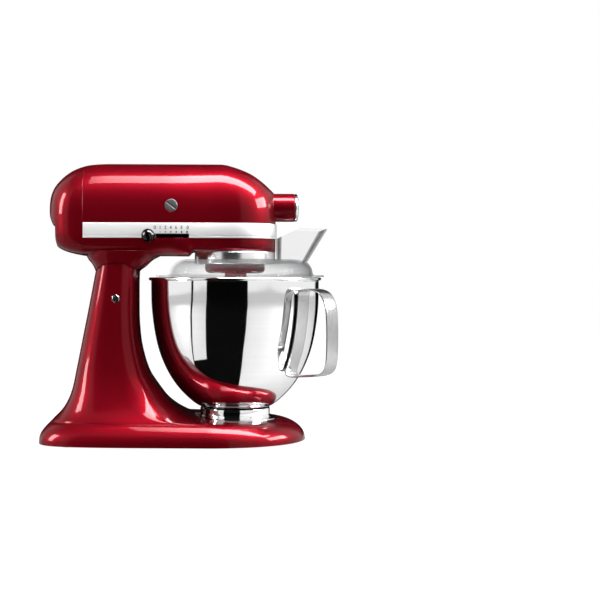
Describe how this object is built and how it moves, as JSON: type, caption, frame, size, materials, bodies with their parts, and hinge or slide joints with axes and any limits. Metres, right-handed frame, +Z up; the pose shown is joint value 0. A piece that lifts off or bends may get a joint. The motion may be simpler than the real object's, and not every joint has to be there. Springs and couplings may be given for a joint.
{
  "type": "stand mixer",
  "caption": "Tilt-head stand mixer with a hinged motor head, planetary beater drive, steel bowl with a strap handle and a clear pouring shield.",
  "frame": {"origin": "on the table, under the middle of the mixer's outline", "axes": "+X from the column towards the nose, +Y towards the head lock's side, +Z up"},
  "size_m": [0.3684, 0.228, 0.353],
  "materials": {
    "red_paint": "glossy metallic red enamel",
    "chrome": "mirror polished",
    "steel": "machined steel",
    "bronze": "plain",
    "satin_silver": "satin",
    "dark_plastic": "matt",
    "rubber": "matt",
    "copper": "enamelled wire and bar",
    "carbon": "matt",
    "clear_plastic": "clear"
  },
  "bodies": {
    "base": {"base_casting": "red_paint", "foot_1": "rubber", "foot_2": "rubber", "foot_3": "rubber", "foot_4": "rubber", "foot_5": "rubber", "bowl_clamp_plate": "chrome", "clamp_screw_1": "steel", "clamp_screw_2": "steel", "clamp_screw_3": "steel", "hinge_pin": "chrome"},
    "head_lock": {"lock_lever": "dark_plastic"},
    "head": {"gearcase": "red_paint", "motor_housing": "red_paint", "rear_cover": "red_paint", "rear_cover_screw": "steel", "cord_gland": "dark_plastic", "trim_band": "satin_silver", "brush_cap_left": "dark_plastic", "brush_cap_right": "dark_plastic", "carbon_brush_left": "carbon", "carbon_brush_right": "carbon", "drip_ring": "chrome", "ring_gear": "steel", "motor_field": "steel", "field_winding_rear": "copper", "field_winding_front": "copper", "rear_bearing": "bronze", "front_bearing": "bronze", "shaft_bearing": "bronze", "hub_bushing": "bronze", "speed_control_plate": "dark_plastic", "hub_cap_pin": "steel"},
    "speed_control": {"speed_knob": "chrome", "speed_lever": "steel"},
    "hub_knob": {"attachment_knob": "dark_plastic"},
    "cap": {"hub_cap": "chrome"},
    "rotor": {"armature_shaft": "steel", "armature_core": "copper", "commutator": "copper", "motor_fan": "dark_plastic", "worm": "steel"},
    "countershaft": {"counter_shaft": "steel", "worm_wheel": "bronze", "drive_pinion": "steel"},
    "hub_drive": {"hub_shaft": "steel", "hub_gear": "steel"},
    "planetary": {"planetary_hub": "red_paint", "main_shaft": "steel", "centre_gear": "steel", "bevel_gear": "steel"},
    "beater_drive": {"beater_shaft": "steel", "beater_pin": "steel", "planet_pinion": "steel"},
    "mixing_bowl": {"bowl": "chrome", "bowl_foot": "chrome", "bowl_handle": "chrome"},
    "shield": {"pouring_shield": "clear_plastic"}
  },
  "joints": [
    {"name": "head_tilt", "type": "hinge", "parent": "base", "child": "head", "pos_m": [-0.088, 0, 0.182], "axis": [0, -1, 0], "range_deg": [0, 40]},
    {"name": "lock_slide", "type": "slide", "parent": "base", "child": "head_lock", "axis": [-1, 0, 0], "range_m": [0, 0.013]},
    {"name": "speed_slide", "type": "slide", "parent": "head", "child": "speed_control", "axis": [1, 0, 0], "range_m": [0, 0.046]},
    {"name": "knob_turn", "type": "hinge", "parent": "head", "child": "hub_knob", "pos_m": [0.128, 0, 0.298], "axis": [0, 1, 0], "continuous": true},
    {"name": "cap_swing", "type": "hinge", "parent": "head", "child": "cap", "pos_m": [0.1404, 0.0206, 0.298], "axis": [0, 0, 1], "range_deg": [0, 110]},
    {"name": "rotor_spin", "type": "hinge", "parent": "head", "child": "rotor", "pos_m": [0, 0, 0.2976], "axis": [1, 0, 0], "continuous": true},
    {"name": "counter_spin", "type": "hinge", "parent": "head", "child": "countershaft", "pos_m": [0.01989, 0.0275, 0.2976], "axis": [0, 0, 1], "continuous": true},
    {"name": "planetary_spin", "type": "hinge", "parent": "head", "child": "planetary", "pos_m": [0.06165, 0, 0.225], "axis": [0, 0, 1], "continuous": true},
    {"name": "beater_spin", "type": "hinge", "parent": "planetary", "child": "beater_drive", "pos_m": [0.06165, -0.024, 0.225], "axis": [0, 0, 1], "continuous": true},
    {"name": "hub_spin", "type": "hinge", "parent": "head", "child": "hub_drive", "pos_m": [0.09, 0, 0.298], "axis": [1, 0, 0], "continuous": true},
    {"name": "bowl_turn", "type": "hinge", "parent": "base", "child": "mixing_bowl", "pos_m": [0.06165, 0, 0.027], "axis": [0, 0, 1], "range_deg": [0, 25]},
    {"name": "shield_slide", "type": "slide", "parent": "mixing_bowl", "child": "shield", "axis": [1, 0, 0], "range_m": [0, 0.12]}
  ],
  "couplings": [
    {"joint": "counter_spin", "follows": "rotor_spin", "ratio": -0.05},
    {"joint": "planetary_spin", "follows": "rotor_spin", "ratio": 0.015789},
    {"joint": "hub_spin", "follows": "rotor_spin", "ratio": 0.015789},
    {"joint": "beater_spin", "follows": "rotor_spin", "ratio": -0.057895}
  ]
}
